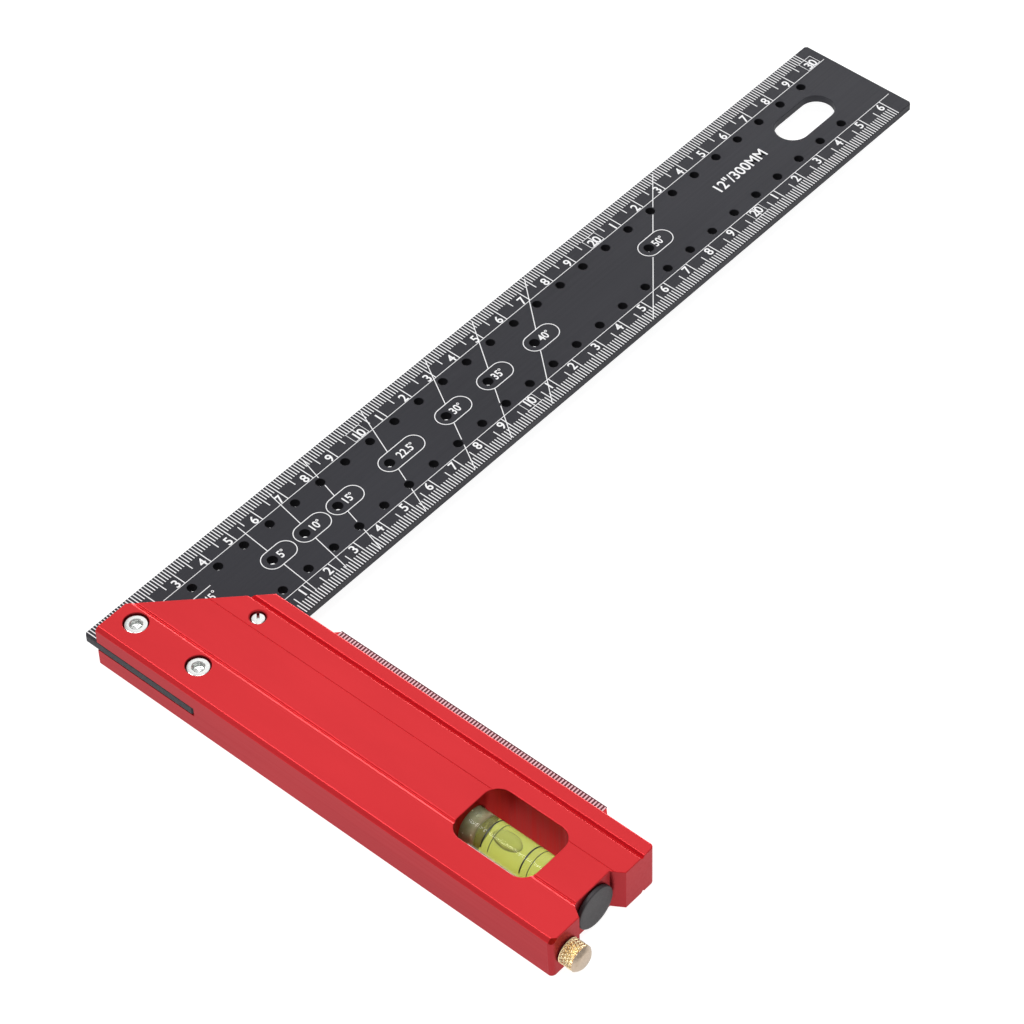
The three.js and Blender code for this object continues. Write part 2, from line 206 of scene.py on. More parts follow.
def joined(meshes, name):
    bm = bmesh.new()
    for mesh in meshes:
        bm.from_mesh(mesh)
    return mesh_from_bmesh(bm, name)


def combined(base, cutters, operation):
    """base with each cutter taken away from it, joined to it or kept where both are."""
    thing = link("working", base)
    helpers = []
    for cutter in cutters:
        helper = link("cutter", cutter)
        modifier = thing.modifiers.new("cut", "BOOLEAN")
        modifier.operation = operation
        modifier.solver = "EXACT"
        modifier.object = helper
        helpers.append(helper)
    result = baked(thing)
    for helper in helpers:
        bpy.data.objects.remove(helper)
    return welded(result)


def tidied(mesh):
    """Flat neighbouring faces merged, and slivers closed."""
    bm = bmesh.new()
    bm.from_mesh(mesh)
    bmesh.ops.dissolve_degenerate(bm, dist=1e-3, edges=bm.edges)
    bmesh.ops.dissolve_limit(bm, angle_limit=math.radians(0.05), verts=bm.verts, edges=bm.edges)
    return mesh_from_bmesh(bm, mesh.name)


def piece(name, mesh, material, body, replaces=(), smooth_angle=35):
    """A finished piece of the object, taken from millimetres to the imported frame."""
    mesh.transform(TO_FRAME)
    mesh.materials.clear()
    mesh.materials.append(material)
    mesh.shade_smooth()
    mesh.set_sharp_from_angle(angle=math.radians(smooth_angle))
    thing = link(name, mesh)
    weighted = thing.modifiers.new("even_shading", "WEIGHTED_NORMAL")
    weighted.keep_sharp = True
    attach(thing, body)
    if replaces:
        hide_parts(*replaces)
    return thing


def circle(x, y, radius, sides):
    turns = [2 * math.pi * i / sides for i in range(sides)]
    return [(x + radius * math.cos(t), y + radius * math.sin(t)) for t in turns]


def rounded_rectangle(left, right, low, high, radius, steps=12):
    centres = [
        (right - radius, low + radius, -90),
        (right - radius, high - radius, 0),
        (left + radius, high - radius, 90),
        (left + radius, low + radius, 180),
    ]
    points = []
    for x, y, start in centres:
        for step in range(steps + 1):
            turn = math.radians(start + 90 * step / steps)
            points.append((x + radius * math.cos(turn), y + radius * math.sin(turn)))
    return points


def softened(points, radius, steps=3):
    """A closed outline with each corner rounded off."""
    rounded = []
    for i, point in enumerate(points):
        corner = Vector(point)
        before = Vector(points[i - 1]) - corner
        after = Vector(points[(i + 1) % len(points)]) - corner
        start = corner + before.normalized() * min(radius, before.length * 0.4)
        end = corner + after.normalized() * min(radius, after.length * 0.4)
        for step in range(steps + 1):
            t = step / steps
            rounded.append(tuple(start.lerp(corner, t).lerp(corner.lerp(end, t), t)))
    return rounded


def plate(outline, holes, low, high, rounding):
    """A flat plate between z = low and z = high, with its upper and lower edges rounded."""
    curve = bpy.data.curves.new("plate", "CURVE")
    curve.dimensions = "2D"
    curve.fill_mode = "BOTH"
    curve.extrude = (high - low) / 2 - rounding
    curve.bevel_depth = rounding
    curve.bevel_resolution = 3
    curve.offset = -rounding
    for points in [outline, *[list(reversed(hole)) for hole in holes]]:
        spline = curve.splines.new("POLY")
        spline.points.add(len(points) - 1)
        for point, (x, y) in zip(spline.points, points):
            point.co = (x, y, 0, 1)
        spline.use_cyclic_u = True
    mesh = baked(link("plate", curve))
    mesh.transform(Matrix.Translation((0, 0, (low + high) / 2)))
    return welded(mesh)


def prism_along_y(outline, low, high):
    """A cross-section of x and z, run from y = low to y = high."""
    bm = bmesh.new()
    ends = [[bm.verts.new((x, y, z)) for x, z in outline] for y in (low, high)]
    count = len(outline)
    for i in range(count):
        j = (i + 1) % count
        bm.faces.new((ends[0][i], ends[0][j], ends[1][j], ends[1][i]))
    bm.faces.new(ends[0])
    bm.faces.new(ends[1])
    return mesh_from_bmesh(bm, "prism")


def block(low, high):
    outline = [(low[0], low[2]), (high[0], low[2]), (high[0], high[2]), (low[0], high[2])]
    return prism_along_y(outline, low[1], high[1])


def turned(profile, axis, centre, sides=ROUND):
    """A solid turned about the Y or Z axis through centre. Each point of the profile is a radius,
    or a function that gives the radius at a turn, and a distance along the axis."""
    bm = bmesh.new()
    rings = []
    for radius, along in profile:
        ring = []
        for i in range(sides):
            turn = 2 * math.pi * i / sides
            r = radius(turn) if callable(radius) else radius
            a, b = r * math.cos(turn), r * math.sin(turn)
            offset = (a, b, along) if axis == "Z" else (a, along, -b)
            ring.append(bm.verts.new([c + o for c, o in zip(centre, offset)]))
        rings.append(ring)
    for lower, upper in zip(rings, rings[1:]):
        for i in range(sides):
            j = (i + 1) % sides
            bm.faces.new((lower[i], lower[j], upper[j], upper[i]))
    bm.faces.new(rings[0])
    bm.faces.new(rings[-1])
    bmesh.ops.remove_doubles(bm, verts=bm.verts, dist=1e-5)
    return mesh_from_bmesh(bm, "turned")


def arc_profile(radius, along, rounding, corner, steps=4):
    """Points round the edge of a turned piece's end. corner is the end, -1 or 1 along the axis,
    and True where they run from the end's face to the side or False where they run back."""
    side, entering = corner
    points = []
    for step in range(steps + 1):
        turn = math.radians(90 * step / steps)
        inward = rounding * (1 - math.sin(turn))
        back = rounding * (1 - math.cos(turn))
        points.append((radius - inward, along - side * back))
    return points if entering else list(reversed(points))


def rounded_rod(radius, low, high, rounding):
    """Profile of a rod with both ends rounded."""
    start = arc_profile(radius, low, rounding, (-1, True))
    end = arc_profile(radius, high, rounding, (1, False))
    return [(0.02, low), *start, *end, (0.02, high)]


def hexagon(across):
    """The radius of a hexagon, as a function of the turn."""
    return lambda turn: across / 2 / math.cos((turn + math.pi / 6) % (math.pi / 3) - math.pi / 6)


# ---------------------------------------------------------------- materials


def material(name, base, metallic, roughness, **sockets):
    """A material with its Principled shader. Socket names are written with _ for a space."""
    made = bpy.data.materials.new(name)
    made.use_nodes = True
    shader = made.node_tree.nodes["Principled BSDF"]
    shader.inputs["Base Color"].default_value = (*base, 1)
    shader.inputs["Metallic"].default_value = metallic
    shader.inputs["Roughness"].default_value = roughness
    for socket, value in sockets.items():
        shader.inputs[socket.replace("_", " ")].default_value = value
    return made


def noise(made, scale, stretch=(1, 1, 1), detail=3.0):
    """A noise over the piece; scale is in cells per metre, and stretch lengthens cells."""
    nodes, links = made.node_tree.nodes, made.node_tree.links
    place = nodes.new("ShaderNodeTexCoord")
    mapping = nodes.new("ShaderNodeMapping")
    mapping.inputs["Scale"].default_value = tuple(1 / s for s in stretch)
    texture = nodes.new("ShaderNodeTexNoise")
    texture.inputs["Scale"].default_value = scale
    texture.inputs["Detail"].default_value = detail
    links.new(place.outputs["Object"], mapping.inputs["Vector"])
    links.new(mapping.outputs["Vector"], texture.inputs["Vector"])
    return texture.outputs["Fac"]


def shifted(made, factor, low, high):
    """A factor's middle range taken to low ... high."""
    nodes, links = made.node_tree.nodes, made.node_tree.links
    ramp = nodes.new("ShaderNodeMapRange")
    ramp.inputs["From Min"].default_value = 0.3
    ramp.inputs["From Max"].default_value = 0.7
    ramp.inputs["To Min"].default_value = low
    ramp.inputs["To Max"].default_value = high
    links.new(factor, ramp.inputs["Value"])
    return ramp.outputs["Result"]


def vary_roughness(made, factor, low, high):
    shader = made.node_tree.nodes["Principled BSDF"]
    made.node_tree.links.new(shifted(made, factor, low, high), shader.inputs["Roughness"])


def vary_colour(made, factor, first, second):
    nodes, links = made.node_tree.nodes, made.node_tree.links
    mix = nodes.new("ShaderNodeMix")
    mix.data_type = "RGBA"
    mix.inputs["A"].default_value = (*first, 1)
    mix.inputs["B"].default_value = (*second, 1)
    links.new(shifted(made, factor, 0, 1), mix.inputs["Factor"])
    links.new(mix.outputs["Result"], nodes["Principled BSDF"].inputs["Base Color"])


def bump(made, factors, strength):
    """Bumps from one or more (factor, height in metres) pairs, finest last."""
    nodes, links = made.node_tree.nodes, made.node_tree.links
    normal = None
    for factor, height in factors:
        node = nodes.new("ShaderNodeBump")
        node.inputs["Strength"].default_value = strength
        node.inputs["Distance"].default_value = height
        links.new(factor, node.inputs["Height"])
        if normal:
            links.new(normal, node.inputs["Normal"])
        normal = node.outputs["Normal"]
    links.new(normal, nodes["Principled BSDF"].inputs["Normal"])


def red_anodised():
    made = material(
        "red_anodised", (0.64, 0.018, 0.024), 0.6, 0.36,
        Coat_Weight=0.06, Coat_Roughness=0.25, Coat_IOR=1.4,
    )
    cloud = noise(made, 60, (1, 3, 1))
    streaks = noise(made, 900, (1, 60, 1), 2)
    grain = noise(made, 9000, detail=2)
    vary_colour(made, cloud, (0.62, 0.016, 0.022), (0.67, 0.02, 0.027))
    vary_roughness(made, streaks, 0.33, 0.4)
    bump(made, [(streaks, 2e-6), (grain, 4e-6)], 0.35)
    return made


def side_red():
    """The stock's upright faces, painted a deeper red than its broad faces as painted shade."""
    made = material(
        "side_red", (0.36, 0.02, 0.026), 0.8, 0.38,
        Coat_Weight=0.09, Coat_Roughness=0.25, Specular_Tint=(0.95, 0.6, 0.62, 1),
    )
    cloud = noise(made, 50, (1, 3, 1))
    streaks = noise(made, 900, (1, 60, 1), 2)
    vary_colour(made, cloud, (0.36, 0.018, 0.024), (0.41, 0.022, 0.028))
    vary_roughness(made, streaks, 0.34, 0.42)
    bump(made, [(streaks, 3e-6)], 0.35)
    return made


def wall_red():
    """The window's milled walls and the facet on the corner, painted darker than the faces as
    painted shade, and duller.
    """
    made = material("wall_red", (0.36, 0.01, 0.006), 0.7, 0.45, Specular_Tint=(0.9, 0.3, 0.25, 1))
    cutter_marks = noise(made, 1500, (1, 1, 30), 2)
    vary_colour(made, cutter_marks, (0.3, 0.008, 0.005), (0.4, 0.012, 0.008))
    vary_roughness(made, cutter_marks, 0.38, 0.52)
    bump(made, [(cutter_marks, 4e-6)], 0.4)
    return made


def groove_red():
    """The walls of the deep groove, painted a darker red as painted shade where they mostly reflect
    each other.
    """
    made = material("groove_red", (0.54, 0.008, 0.014), 0.5, 0.5, Specular_Tint=(0.9, 0.15, 0.15, 1))
    streaks = noise(made, 900, (1, 60, 1), 2)
    vary_colour(made, streaks, (0.5, 0.006, 0.012), (0.58, 0.01, 0.016))
    vary_roughness(made, streaks, 0.45, 0.55)
    return made


def dark_red():
    """Painted shade: a dark red for the band under the ledge's ticks, where the red ledge lies in
    shadow.
    """
    made = material("dark_red", (0.11, 0.006, 0.012), 0.1, 0.5)
    grain = noise(made, 7000, detail=2)
    vary_colour(made, grain, (0.09, 0.004, 0.01), (0.14, 0.008, 0.016))
    vary_roughness(made, grain, 0.45, 0.6)
    return made


def black_anodised():
    made = material("black_anodised", (0.028, 0.028, 0.034), 0.35, 0.55, Specular_IOR_Level=0.3)
    cloud = noise(made, 45, (3, 1, 1))
    streaks = noise(made, 1200, (50, 1, 1), 2)
    grain = noise(made, 8000, detail=2)
    vary_colour(made, cloud, (0.026, 0.026, 0.032), (0.031, 0.031, 0.038))
    vary_roughness(made, streaks, 0.5, 0.62)
    bump(made, [(streaks, 2e-6), (grain, 5e-6)], 0.4)
    return made


def white_ink():
    made = material("engraved_white", (0.86, 0.86, 0.86), 0, 0.6)
    speckle = noise(made, 6000)
    vary_colour(made, speckle, (0.8, 0.8, 0.81), (0.9, 0.9, 0.91))
    bump(made, [(speckle, 4e-6)], 0.3)
    return made


def pink_ink():
    """Thin white ink that lets some of the red through."""
    made = material("engraved_pink", (0.86, 0.5, 0.55), 0, 0.6)
    speckle = noise(made, 5000)
    vary_colour(made, speckle, (0.8, 0.42, 0.47), (0.92, 0.6, 0.64))
    bump(made, [(speckle, 4e-6)], 0.3)
    return made


def bright_steel():
    made = material("bright_steel", (0.78, 0.79, 0.78), 1, 0.2)
    stains = noise(made, 1500)
    lathe_marks = noise(made, 5000, detail=4)
    vary_colour(made, stains, (0.7, 0.72, 0.71), (0.86, 0.87, 0.85))
    vary_roughness(made, stains, 0.16, 0.3)
    bump(made, [(lathe_marks, 3e-6)], 0.3)
    return made


def pin_steel():
    made = material("pin_steel", (0.6, 0.61, 0.62), 1, 0.28)
    streaks = noise(made, 4000, (1, 40, 1), 2)
    vary_colour(made, streaks, (0.52, 0.53, 0.54), (0.66, 0.67, 0.68))
    vary_roughness(made, streaks, 0.22, 0.36)
    bump(made, [(streaks, 5e-6)], 0.4)
    return made


def brass():
    made = material("brass", (0.95, 0.78, 0.48), 1, 0.34)
    patches = noise(made, 700)
    marks = noise(made, 6000, (1, 0.4, 1), 4)
    vary_colour(made, patches, (0.93, 0.75, 0.44), (0.98, 0.83, 0.54))
    vary_roughness(made, patches, 0.32, 0.42)
    bump(made, [(marks, 3e-6)], 0.3)
    return made


def turned_brass():
    """The knob's end, painted darker and greyer than the knurl as painted shade and painted
    reflection; the lathe left it duller.
    """
    made = material("turned_brass", (0.55, 0.44, 0.33), 0.8, 0.4)
    rings = noise(made, 1800, detail=4)
    vary_colour(made, rings, (0.48, 0.38, 0.28), (0.61, 0.49, 0.38))
    vary_roughness(made, rings, 0.32, 0.46)
    bump(made, [(rings, 4e-6)], 0.3)
    return made


def black_plastic():
    made = material("black_plastic", (0.034, 0.03, 0.034), 0, 0.5, Specular_IOR_Level=0.4)
    cloud = noise(made, 300)
    grain = noise(made, 5000, detail=4)
    vary_colour(made, cloud, (0.028, 0.025, 0.028), (0.04, 0.035, 0.039))
    vary_roughness(made, grain, 0.42, 0.6)
    bump(made, [(cloud, 3e-5), (grain, 1.2e-5)], 0.5)
    return made


def hole_black():
    """Painted shade: near black for the tapered walls of the blade's holes, where little light
    reaches.
    """
    made = material("hole_black", (0.006, 0.006, 0.007), 0, 0.7, Specular_IOR_Level=0.1)
    grain = noise(made, 6000)
    vary_colour(made, grain, (0.004, 0.004, 0.005), (0.009, 0.009, 0.011))
    vary_roughness(made, grain, 0.6, 0.8)
    return made


def ring_ink():
    made = material("ring_ink", (0.012, 0.014, 0.012), 0, 0.4)
    speckle = noise(made, 4000)
    vary_colour(made, speckle, (0.008, 0.01, 0.008), (0.02, 0.024, 0.018))
    vary_roughness(made, speckle, 0.3, 0.5)
    return made


def black_rubber():
    made = material("black_rubber", (0.02, 0.02, 0.022), 0, 0.85)
    pores = noise(made, 2500, detail=5)
    vary_roughness(made, pores, 0.75, 0.95)
    bump(made, [(pores, 4e-5)], 0.6)
    return made


def clear_acrylic():
    made = material("clear_acrylic", (0.95, 0.98, 0.86), 0, 0.03, IOR=1.2, Transmission_Weight=0.96)
    ripple = noise(made, 220, (1, 5, 1), 1)
    vary_roughness(made, ripple, 0.015, 0.05)
    bump(made, [(ripple, 4e-5)], 0.3)
    return made


def frosted_acrylic():
    made = material("frosted_acrylic", (0.66, 0.64, 0.38), 0, 0.2, IOR=1.1, Transmission_Weight=0.55)
    cloud = noise(made, 500, detail=2)
    vary_colour(made, cloud, (0.54, 0.53, 0.28), (0.78, 0.76, 0.5))
    vary_roughness(made, cloud, 0.12, 0.3)
    bump(made, [(cloud, 3e-5)], 0.4)
    return made


def vial_liquid():
    made = material(
        "vial_liquid", (0.66, 0.69, 0.15), 0, 0.06, IOR=1.02, Transmission_Weight=0.85,
    )
    swirl = noise(made, 120, (1, 3, 1), 1)
    vary_colour(made, swirl, (0.6, 0.64, 0.12), (0.72, 0.74, 0.2))
    return made


def vial_air():
    # Painted highlight: a pale, partly opaque bubble stands in for the light that an air bubble
    # reflects.
    made = material("vial_bubble", (0.97, 0.99, 0.86), 0, 0.02, IOR=1.3, Transmission_Weight=0.7)
    swirl = noise(made, 200, detail=1)
    vary_roughness(made, swirl, 0.0, 0.04)
    return made


RED = red_anodised()
SIDE_SHADE_RED = side_red()
WALL_SHADE_RED = wall_red()
GROOVE_SHADE_RED = groove_red()
LEDGE_SHADE_RED = dark_red()
BLACK = black_anodised()
WHITE = white_ink()
PINK = pink_ink()
STEEL = bright_steel()
PIN_STEEL = pin_steel()
BRASS = brass()
BRASS_END_SHADE = turned_brass()
PLASTIC = black_plastic()
HOLE_SHADE_BLACK = hole_black()
RING_INK = ring_ink()
RUBBER = black_rubber()
ACRYLIC = clear_acrylic()
FROSTED = frosted_acrylic()
LIQUID = vial_liquid()
BUBBLE_HIGHLIGHT = vial_air()


# ---------------------------------------------------------------- stock


def half_section(outer_chamfer):
    """Half of the stock's cross-section, as x and the height above its middle plane."""
    half = [(0, MID - outer_chamfer), (outer_chamfer, MID)]
    for left, bottom, right, depth in GROOVES:
        half += [(left, MID), (bottom, MID - depth), (right, MID)]
    return half + [(STOCK_WIDTH - EDGE_CHAMFER, MID), (STOCK_WIDTH, MID - EDGE_CHAMFER)]


def stock_section():
    upper = half_section(UPPER_OUTER_CHAMFER)
    lower = [(x, -height) for x, height in reversed(half_section(EDGE_CHAMFER))]
    outline = [(x, MID + height) for x, height in upper + lower]
    return softened(outline, SECTION_ROUND)


def notch_side(side, steps=6):
    """One curved side of the end notch, from its mouth to its floor; side is -1 or 1."""
    mouth = WINDOW["x"] + side * NOTCH["mouth"] / 2
    floor = WINDOW["x"] + side * NOTCH["floor"] / 2
    pull = (floor + side * 0.6, END_Y + NOTCH["depth"] - 1)
    points = []
    for step in range(steps + 1):
        t = step / steps
        weights = ((1 - t) ** 2, 2 * t * (1 - t), t * t)
        x = weights[0] * mouth + weights[1] * pull[0] + weights[2] * floor
        y = weights[0] * END_Y + weights[1] * pull[1] + weights[2] * (END_Y + NOTCH["depth"])
        points.append((x, y))
    return points


def end_corner(first, steps=6):
    """The rounded corner at the stock's end, from first to first + 90 degrees."""
    radius = CORNER_RADIUS
    x = radius if first == 180 else STOCK_WIDTH - radius
    turns = [math.radians(first + 90 * step / steps) for step in range(steps + 1)]
    return [(x + radius * math.cos(t), END_Y + radius + radius * math.sin(t)) for t in turns]


def stock_outline():
    return [
        (0, HEEL_Y),
        *end_corner(180),
        *notch_side(-1),
        *reversed(notch_side(1)),
        *end_corner(270),
        (STOCK_WIDTH, MITRE_SUM - STOCK_WIDTH),
        (MITRE_SUM - HEEL_Y, HEEL_Y),
    ]


def upright_axis(node):
    """The point where an upright CAD piece's middle line meets z = 0."""
    low, high = box_mm(node)
    return ((low.x + high.x) / 2, (low.y + high.y) / 2, 0)


def lying_axis(node):
    """The point where the middle line of a CAD piece that lies along Y meets y = 0."""
    low, high = box_mm(node)
    return ((low.x + high.x) / 2, 0, (low.z + high.z) / 2)


def drilled(node, radius, floor, countersink):
    """A cutter for the hole that a CAD screw stands in, with a slight countersink."""
    profile = [
        (radius, floor),
        (radius, THICKNESS - countersink),
        (radius + countersink, THICKNESS),
        (radius + countersink, THICKNESS + 1),
    ]
    return turned(profile, "Z", upright_axis(node))


def make_stock():
    beyond = 1
    bar = prism_along_y(stock_section(), END_Y - beyond, HEEL_Y + beyond)
    half = WINDOW["width"] / 2
    window = rounded_rectangle(
        WINDOW["x"] - half, WINDOW["x"] + half, WINDOW["end"], WINDOW["top"], WINDOW["corner"]
    )
    proud = 0.01
    plan = plate(stock_outline(), [window], -proud, THICKNESS + proud, EDGE_ROUND)
    body = combined(bar, [plan], "INTERSECT")

    tip = STOCK_HIGH.x
    root = STOCK_WIDTH - LEDGE["root"]
    bevel = LEDGE["bevel"]
    ledge_outline = [
        (root, LEDGE["end"]),
        (tip - bevel, LEDGE["end"]),
        (tip, LEDGE["end"] + bevel),
        (tip, LEDGE["start"] - bevel),
        (tip - bevel, LEDGE["start"]),
        (root, LEDGE["start"]),
    ]
    ledge = plate(ledge_outline, [], BLADE_LOW.z, BLADE_HIGH.z, LEDGE["round"])
    body = combined(body, [ledge], "UNION")

    line = SCRIBED_LINE
    groove = [
        (line["x"] - line["width"] / 2, THICKNESS + 0.02),
        (line["x"], THICKNESS - line["depth"]),
        (line["x"] + line["width"] / 2, THICKNESS + 0.02),
    ]
    slot_low = BLADE_LOW.z - GAP
    slot_high = BLADE_HIGH.z + GAP
    pin_low, pin_high = box_mm("pin_shank")
    pin_radius = (pin_high.x - pin_low.x) / 2 + GAP
    pin_bore = [(pin_radius, END_Y - 1), (pin_radius, pin_high.y + GAP)]
    vial_end = box_mm("vial_pad")[1].y + GAP
    vial_bore = [(VIAL_BORE_RADIUS, END_Y), (VIAL_BORE_RADIUS, vial_end)]
    head_floor = THICKNESS - HEAD_HOLE["depth"]
    cutters = [
        block((-1, BLADE_LOW.y - GAP, slot_low), (STOCK_WIDTH + 1, 1, slot_high)),
        turned(vial_bore, "Y", VIAL_AXIS),
        turned(pin_bore, "Y", lying_axis("pin_shank")),
        prism_along_y(groove, END_Y - 1, HEEL_Y),
        drilled("set_screw", SCREW_HOLE_RADIUS, MID, SET_SCREW["countersink"]),
    ]
    for node in CLAMP_SCREWS:
        cutters.append(drilled(node, HEAD_HOLE["radius"], head_floor, HEAD_HOLE["countersink"]))
    cutters.append(corner_nick())
    for node in CLAMP_SCREWS:
        profile = [(SCREW_HOLE_RADIUS, -1), (SCREW_HOLE_RADIUS, head_floor + 1)]
        cutters.append(turned(profile, "Z", upright_axis(node)))
    body = tidied(combined(body, cutters, "DIFFERENCE"))
    stock = piece("stock_body", body, RED, "square", ["stock"])
    # Upright faces, the window's walls with the corner facet and the deep groove take darker copies
    # of the red, as painted shade.
    reds = [RED, SIDE_SHADE_RED, WALL_SHADE_RED, GROOVE_SHADE_RED]
    for red in reds[1:]:
        stock.data.materials.append(red)
    for face in stock.data.polygons:
        face.material_index = reds.index(stock_finish(face))


def stock_finish(face, groove_margin=0.12):
    """The material of one of the stock's faces: the red, or one of its darker copies as painted
    shade.
    """
    at = (face.center - CORNER) / MM
    in_nick = face.normal.dot(Vector((-1, -1, 1)).normalized()) > 0.995
    upright = abs(face.normal.z) < 0.3
    if in_nick or (upright and in_window(at)):
        return WALL_SHADE_RED
    if upright:
        return SIDE_SHADE_RED
    left, _, right, _ = GROOVES[1]
    in_groove = left + groove_margin < at.x < right - groove_margin
    return GROOVE_SHADE_RED if in_groove and abs(face.normal.z) < 0.97 else RED


def in_window(at, margin=0.2):
    across = abs(at.x - WINDOW["x"]) < WINDOW["width"] / 2 + margin
    return across and WINDOW["end"] - margin < at.y < WINDOW["top"] + margin


def corner_nick():
    """A cutter for the facet on the outer top corner at the stock's end."""
    bm = bmesh.new()
    corner = Vector((0, END_Y, THICKNESS))
    inward = Vector((1, 1, -1))
    tips = [
        corner + Vector((CORNER_NICK, 0, 0)),
        corner + Vector((0, CORNER_NICK, 0)),
        corner + Vector((0, 0, -CORNER_NICK)),
    ]
    lower = [bm.verts.new(tip + inward * 0.02) for tip in tips]
    upper = [bm.verts.new(tip - inward * 3) for tip in tips]
    bm.faces.new(lower)
    bm.faces.new(upper)
    for i in range(3):
        j = (i + 1) % 3
        bm.faces.new((lower[i], lower[j], upper[j], upper[i]))
    return mesh_from_bmesh(bm, "nick")


# ---------------------------------------------------------------- blade


def angle_line_x(degrees, y):
    return PIVOT[0] + math.tan(math.radians(degrees)) * (y - PIVOT[1])


def angle_hole_x(degrees):
    inset = ANGLE_HOLE_INSET / math.cos(math.radians(degrees))
    return angle_line_x(degrees, ANGLE_ROW_Y) - inset


def make_blade():
    left, right = BLADE_LOW.x, BLADE_HIGH.x
    low, high = BLADE_LOW.y, BLADE_HIGH.y
    cut = BLADE_CHAMFER
    outline = [
        (left + cut, low), (right - cut, low), (right, low + cut), (right, high - cut),
        (right - cut, high), (left + cut, high), (left, high - cut), (left, low + cut),
    ]
    holes = []
    for y, first, last in HOLE_ROWS:
        for x in range(first, last + 1, CENTIMETRE):
            holes.append(circle(x, y, HOLE_RADIUS, HOLE_SIDES))
    for degrees in ANGLES:
        holes.append(circle(angle_hole_x(degrees), ANGLE_ROW_Y, ANGLE_HOLE_RADIUS, HOLE_SIDES))
    for node in CLAMP_SCREWS:
        x, y, _ = upright_axis(node)
        holes.append(circle(x, y, SCREW_HOLE_RADIUS, 32))
    half_length, half_width = HANG_SLOT["length"] / 2, HANG_SLOT["width"] / 2
    x, y = HANG_SLOT["x"], HANG_SLOT["y"]
    holes.append(rounded_rectangle(
        x - half_length, x + half_length, y - half_width, y + half_width, half_width - 0.01
    ))
    mesh = plate(outline, holes, BLADE_LOW.z, BLADE_HIGH.z, BLADE_ROUND)
    piece("blade_plate", mesh, BLACK, "square", ["blade"])


def make_hole_walls():
    """The taper inside each marking hole and angle hole, as a collar set into the blade, coloured as
    painted shade.
    """
    holes = [
        (x, y, HOLE_RADIUS)
        for y, first, last in HOLE_ROWS
        for x in range(first, last + 1, CENTIMETRE)
    ]
    holes += [(angle_hole_x(degrees), ANGLE_ROW_Y, ANGLE_HOLE_RADIUS) for degrees in ANGLES]
    low, high = BLADE_LOW.z + BLADE_ROUND, BLADE_HIGH.z - BLADE_ROUND
    collars = []
    for x, y, radius in holes:
        bm = bmesh.new()
        foot = radius - HOLE_RADIUS + HOLE_FOOT_RADIUS
        sections = [(radius - 0.01, high), (foot, low), (radius + 0.1, low), (radius + 0.1, high)]
        loops = [
            [bm.verts.new((*p, z)) for p in circle(x, y, r, HOLE_SIDES)] for r, z in sections
        ]
        for here, there in zip(loops, loops[1:] + loops[:1]):
            for i in range(HOLE_SIDES):
                j = (i + 1) % HOLE_SIDES
                bm.faces.new((here[i], here[j], there[j], there[i]))
        collars.append(mesh_from_bmesh(bm, "collar"))
    piece("blade_hole_walls", joined(collars, "hole_walls"), HOLE_SHADE_BLACK, "square")


# ---------------------------------------------------------------- printed marks


def strip(bm, start, end, width, base_z, height=INK):
    """A raised straight stroke from start to end, which are points in x and y."""
    start, end = Vector(start), Vector(end)
    along = (end - start).normalized()
    across = Vector((-along.y, along.x)) * width / 2
    corners = [start - across, end - across, end + across, start + across]
    lower = [bm.verts.new((*p, base_z)) for p in corners]
    upper = [bm.verts.new((*p, base_z + height)) for p in corners]
    bm.faces.new(upper)
    bm.faces.new(lower[::-1])
    for i in range(4):
        j = (i + 1) % 4
        bm.faces.new((lower[i], lower[j], upper[j], upper[i]))


def loop_line(bm, points, width, base_z, height=INK):
    """A raised closed line round the points, mitred at each of them."""
    count = len(points)
    rings = []
    for side, z in ((-1, base_z), (-1, base_z + height), (1, base_z + height), (1, base_z)):
        ring = []
        for i in range(count):
            here = Vector(points[i])
            before = (here - Vector(points[i - 1])).normalized()
            after = (Vector(points[(i + 1) % count]) - here).normalized()
            mitre = (before + after).normalized()
            normal = Vector((-mitre.y, mitre.x))
            reach = width / 2 / max(0.5, mitre.dot(before))
            ring.append(bm.verts.new((*(here + normal * side * reach), z)))
        rings.append(ring)
    for inner, outer in zip(rings, rings[1:] + rings[:1]):
        for i in range(count):
            j = (i + 1) % count
            bm.faces.new((inner[i], inner[j], outer[j], outer[i]))


def lettering(text, x, y, height, weight=LETTER_WEIGHT, condense=0.95):
    """Raised figures on the blade, centred on x and y; the height is a figure's own."""
    curve = bpy.data.curves.new("lettering", "FONT")
    curve.body = text
    curve.size = 1
    curve.offset = weight
    curve.extrude = 0.5
    curve.resolution_u = 4
    curve.align_x = "CENTER"
    mesh = baked(link("lettering", curve))
    figure_height = FIGURE_HEIGHT + 2 * weight
    middle = figure_height / 2 - weight
    scale = height / figure_height
    mesh.transform(
        Matrix.Translation((x, y, BLADE_HIGH.z))
        @ Matrix.Diagonal((scale * condense, scale, INK, 1))
        @ Matrix.Translation((0, -middle, 0.5))
    )
    return mesh


def ruled_scale(bm, zero, last, edge_y, inward, edge_gap=0.15):
    """Millimetre ticks from 1 to last along an edge; inward is -1 or 1 along Y. The inner scale's
    centimetre ticks run to its guide line."""
    for mark in range(1, last + 1):
        if mark % 10 == 0:
            length = TICK_LENGTHS["centimetre"]
        elif mark % 5 == 0:
            length = TICK_LENGTHS["half"]
        else:
            length = TICK_LENGTHS["millimetre"]
        if inward > 0 and mark % 10 == 0:
            length = INNER_GUIDE_Y - edge_y
        x = zero + mark
        start_y = edge_y + inward * edge_gap
        strip(bm, (x, start_y), (x, edge_y + inward * length), TICK_WIDTH, BLADE_HIGH.z)


